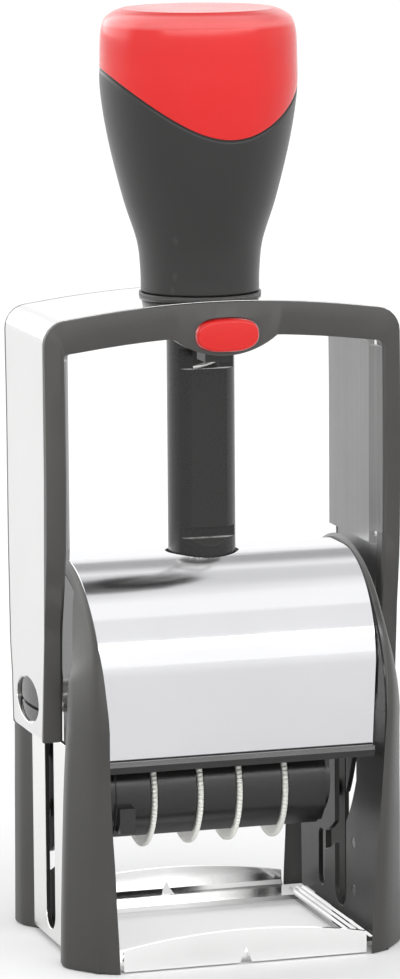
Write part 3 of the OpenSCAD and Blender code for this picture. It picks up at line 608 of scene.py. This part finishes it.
def wheel(node, x, h0, h1):
    teeth, per = 90, 8
    n = teeth * per
    cz = AXLE_Z - DROP
    # profile as (x offset, radius, how much of the tooth wave applies)
    side = [(-0.5, 5.0, 0), (-0.5, 6.2, 0), (-0.38, 6.5, 0), (-0.38, 10.4, 0), (-0.5, 10.8, 0), (-0.5, 11.9, 0.3), (-0.40, 12.18, 0.8), (-0.22, 12.3, 1), (0, 12.3, 1)]
    prof = side + [(-a, r, w) for a, r, w in side[-2::-1]]
    prof = [(x + a, r, w) for a, r, w in prof]
    if h1 > x + 0.6:
        prof += [(x + 0.62, 4.7, 0), (h1 - 0.15, 4.6, 0), (h1, 4.45, 0), (h1, 1.62, 0)]
    else:
        prof += [(x + 0.5, 1.62, 0)]
    if h0 < x - 0.6:
        prof = [(h0, 1.62, 0), (h0, 4.45, 0), (h0 + 0.15, 4.6, 0), (x - 0.62, 4.7, 0)] + prof
    else:
        prof = [(x - 0.5, 1.62, 0)] + prof
    verts = []
    for px, r, w in prof:
        for i in range(n):
            ph = i / per
            tooth = 0.5 * (0.5 - 0.5 * math.cos(2 * math.pi * ph)) ** 0.8
            rr = r - tooth * w
            a = 2 * math.pi * i / n
            verts.append((px, rr * math.cos(a), cz + rr * math.sin(a)))
    f = tube_faces(len(prof), n, closed_n=True)
    return mesh_piece(node + "_finish", verts, f, node)


wheel("day_wheel", -13.7, -13.7, -4.9)
wheel("month_wheel", -4.1, -4.1, 3.4)
wheel("decade_wheel", 4.1, 4.1, 8.85)
wheel("year_wheel", 13.7, 8.95, 13.7)

# ---------------------------------------------------------------- lock button
def oval(m, n):
    def pw(v):
        return math.copysign(abs(v) ** 0.77, v)
    return [((6.4 + m) * pw(math.cos(2 * math.pi * i / n)), (3.25 + m) * pw(math.sin(2 * math.pi * i / n))) for i in range(n)]


def make_button():
    n, cx, cz = 160, 0.5, 124.25
    circle = [(math.cos(2 * math.pi * i / n), math.sin(2 * math.pi * i / n)) for i in range(n)]

    def dome(x, z):
        return 2.6 - math.sqrt(441 - x * x - z * z)

    rings = []
    # peg, stem, back of the flange
    for r, y, dz in [(0.8, -10.6, -1.55), (0.9, -10.7, -1.55), (0.9, -11.85, -1.55), (1.5, -11.85, -1.05), (1.6, -11.95, -1.05), (1.6, -14.6, -1.05)]:
        rings.append([(cx + r * a, y, cz + dz + r * b) for a, b in circle])
    for m, y in [(0.42, -14.6), (0.5, -14.68), (0.5, -15.3), (0.42, -15.38), (0.0, -15.4)]:
        rings.append([(cx + a, y, cz + b) for a, b in oval(m, n)])
    # side wall, rounded edge, dome
    edge = oval(0.0, n)
    rings.append([(cx + a, dome(a, b) + 0.62, cz + b) for a, b in edge])
    for k in range(1, 9):
        t = math.pi / 2 * k / 8
        c = 1 - math.cos(t)
        ins = oval(-0.62 * c, n)
        rings.append([(cx + a, dome(a, b) + 0.62 * (1 - math.sin(t)), cz + b) for a, b in ins])
    base = oval(-0.62, n)
    for k in [0.92, 0.84, 0.74, 0.63, 0.5, 0.37, 0.24, 0.12, 0.03]:
        rings.append([(cx + a * k, dome(a * k, b * k), cz + b * k) for a, b in base])
    verts = [v for row in rings for v in row]
    return mesh_piece("button_finish", verts, tube_faces(len(rings), n), "lock_button")


make_button()

# ---------------------------------------------------------------- the other parts
solid("base_tray", bevel=0.12, segments=2, flat=0)
for node in ("cam_plate_left", "cam_plate_right"):
    solid(node, "black_gloss", bevel=0.15).visible_glossy = False
solid("side_plate_left", bevel=0.15)
solid("side_plate_right", bevel=0.15)
solid("frame_rivets", "dark_steel", bevel=0.15)
solid("tie_rods", bevel=0.1)
solid("hood", bevel=0.15)
solid("cover", bevel=0.12)
solid("pad_carrier", bevel=0.15)
solid("guide_column", bevel=0.18).visible_glossy = False
solid("column_nut", bevel=0.1)
solid("yoke_band", bevel=0.3, segments=3)
solid("inner_stirrup", bevel=0.15)
solid("front_trim", bevel=0.3, segments=3, angle=24, flat=0.05)
solid("rear_trim", bevel=0.2, segments=2, angle=24, flat=0.05)
solid("collar", bevel=0.15)
solid("handle_tube", bevel=0.1)
solid("guide_bush", "black_inner", bevel=0.1)
solid("top_plug", bevel=0.15)
solid("axle", bevel=0.15)
solid("axle_end_left", bevel=0.15)
solid("axle_end_right", bevel=0.15)
solid("lock_tongue", "black_inner", bevel=0.1)
solid("carriage_frame", bevel=0.12)
solid("cam_pins", bevel=0.12)
solid("drum_housing", bevel=0.15)
solid("wheel_shaft", bevel=0.1)
solid("type_bar", bevel=0.1)
solid("day_band", bevel=0.06)
solid("month_band", bevel=0.06)
solid("decade_band", bevel=0.06)
solid("year_band", bevel=0.06)
solid("text_plate", bevel=0.08)
solid("text_die", bevel=0.08)
solid("pad_tray", bevel=0.12)
solid("ink_pad", bevel=0.4, segments=3)

# what stands over the cover is kept out of its mirror image
for ob in scene.objects:
    if ob.name in ("cap_finish", "button_finish", "front_trim_finish", "rear_trim_finish", "yoke_band_finish", "inner_stirrup_finish", "guide_bush_finish", "handle_tube_finish"):
        ob.visible_glossy = False

# the return spring: a finished copy given a mesh of its own
spring = solid("return_spring", "spring_steel", bevel=0, flat=0)
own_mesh(spring)
# the button's spring keeps its CAD shape and takes a dark oiled finish
ob = NODES["button_spring"]
ob.data.materials.clear()
ob.data.materials.append(MATS["dark_steel"])

# ---------------------------------------------------------------- floor, light
def make_floor():
    n, size = 24, 9.0
    verts = [(-size + 2 * size * i / n, -size + 2 * size * j / n, -0.00006) for j in range(n + 1) for i in range(n + 1)]
    faces = [(j * (n + 1) + i, j * (n + 1) + i + 1, (j + 1) * (n + 1) + i + 1, (j + 1) * (n + 1) + i) for j in range(n) for i in range(n)]
    me = bpy.data.meshes.new("floor_mesh")
    me.from_pydata(verts, [], faces)
    ob = link(bpy.data.objects.new("floor", me))
    m = Mat("pale_floor")
    p = m.coords()
    cloud = m.noise(p, 6, 3.0)
    m.set("Base Color", m.mix(cloud, (0.72, 0.72, 0.722), (0.74, 0.74, 0.742)))
    m.set("Roughness", 0.6)
    m.set("Specular IOR Level", 0.25)
    # painted light: the floor glows under the window of the tray, which would otherwise lie in the tray's shade
    c = m.node("ShaderNodeSeparateXYZ")
    m.link(m.tc.outputs["Object"], c.inputs[0])
    window_glow_mask = m.math("MULTIPLY", m.map(m.math("ABSOLUTE", c.outputs[0]), 0.0262, 0.0285, 1.0, 0.0), m.map(m.math("ABSOLUTE", c.outputs[1]), 0.0235, 0.0262, 1.0, 0.0))
    m.set("Emission Color", (1.0, 1.0, 1.0))
    m.set("Emission Strength", m.math("MULTIPLY", window_glow_mask, 0.30))
    me.materials.append(m.m)


make_floor()


def make_world():
    """A plain studio tent: a bright wall in front, a softer upper part, a lighter ceiling panel, a pale back."""
    w = bpy.data.worlds.new("studio")
    scene.world = w
    w.use_nodes = True
    nt = w.node_tree
    nt.nodes.clear()
    out = nt.nodes.new("ShaderNodeOutputWorld")
    bg = nt.nodes.new("ShaderNodeBackground")
    nt.links.new(bg.outputs[0], out.inputs[0])
    tc = nt.nodes.new("ShaderNodeTexCoord")
    sep = nt.nodes.new("ShaderNodeSeparateXYZ")
    nt.links.new(tc.outputs["Generated"], sep.inputs[0])

    def mth(op, a, b=0.0):
        n = nt.nodes.new("ShaderNodeMath")
        n.operation = op
        for i, v in enumerate((a, b)):
            if isinstance(v, (int, float)):
                n.inputs[i].default_value = v
            else:
                nt.links.new(v, n.inputs[i])
        return n.outputs[0]

    # elevation over the horizon, 0..1 for -90..90 degrees
    el = mth("ADD", mth("MULTIPLY", mth("ARCSINE", sep.outputs[2]), 1 / math.pi), 0.5)

    def ramp(stops):
        n = nt.nodes.new("ShaderNodeValToRGB")
        n.color_ramp.interpolation = "LINEAR"
        e = n.color_ramp.elements
        while len(e) > 1:
            e.remove(e[-1])
        for i, (deg, v) in enumerate(stops):
            x = e[0] if i == 0 else e.new((deg + 90) / 180)
            x.position = (deg + 90) / 180
            x.color = (v / 2, v / 2, v / 2, 1)
        nt.links.new(el, n.inputs[0])
        return n.outputs[0]

    front = ramp([(-90, 1.0), (-3, 1.0), (-2, 1.5), (25.4, 1.5), (26.4, 1.22), (50.5, 1.20), (53.5, 1.42), (69, 1.42), (75, 1.0), (90, 0.95)])
    back = ramp([(-90, 1.0), (0, 1.2), (9, 1.3), (26, 1.25), (31, 0.55), (46, 0.55), (52, 1.0), (55, 1.45), (57, 1.45), (60, 0.95), (90, 0.95)])

    def smooth_range(v, a, b):
        n = nt.nodes.new("ShaderNodeMapRange")
        n.interpolation_type = "SMOOTHSTEP"
        n.inputs[1].default_value, n.inputs[2].default_value = a, b
        nt.links.new(v, n.inputs[0])
        return n.outputs[0]

    x, y, z = sep.outputs[0], sep.outputs[1], sep.outputs[2]
    flat = mth("MAXIMUM", mth("SQRT", mth("ADD", mth("MULTIPLY", x, x), mth("MULTIPLY", y, y))), 0.001)

    def facing(az):
        """Cosine between a direction's bearing and az, in degrees from the front toward the left."""
        a = math.radians(az)
        return mth("DIVIDE", mth("ADD", mth("MULTIPLY", x, -math.sin(a)), mth("MULTIPLY", y, -math.cos(a))), flat)

    # a long narrow softbox inside the bright front wall, and a big one at the back left
    strip = mth("MULTIPLY", smooth_range(facing(0), 0.42, 0.55), mth("MULTIPLY", smooth_range(z, 0.292, 0.304), smooth_range(z, 0.434, 0.422)))
    side = mth("MULTIPLY", smooth_range(facing(142), 0.74, 0.90), mth("MULTIPLY", smooth_range(z, 0.0, 0.04), smooth_range(z, 0.85, 0.62)))
    mix = nt.nodes.new("ShaderNodeMix")
    mix.data_type = "RGBA"
    nt.links.new(smooth_range(y, -0.05, 0.12), mix.inputs[0])
    nt.links.new(front, mix.inputs[6])
    nt.links.new(back, mix.inputs[7])

    def plus(col, mask, strength):
        n = nt.nodes.new("ShaderNodeMix")
        n.data_type, n.blend_type, n.clamp_result = "RGBA", "ADD", False
        n.inputs[0].default_value = 1.0
        nt.links.new(col, n.inputs[6])
        nt.links.new(mth("MULTIPLY", mask, strength / 2), n.inputs[7])
        return n.outputs[2]

    col = plus(plus(mix.outputs[2], strip, 5.0), side, 2.0)
    nt.links.new(col, bg.inputs[0])
    bg.inputs[1].default_value = 2.0


make_world()


scene.view_settings.view_transform = "Standard"
scene.view_settings.look = "None"
scene.view_settings.exposure = 0.0
scene.view_settings.gamma = 1.0
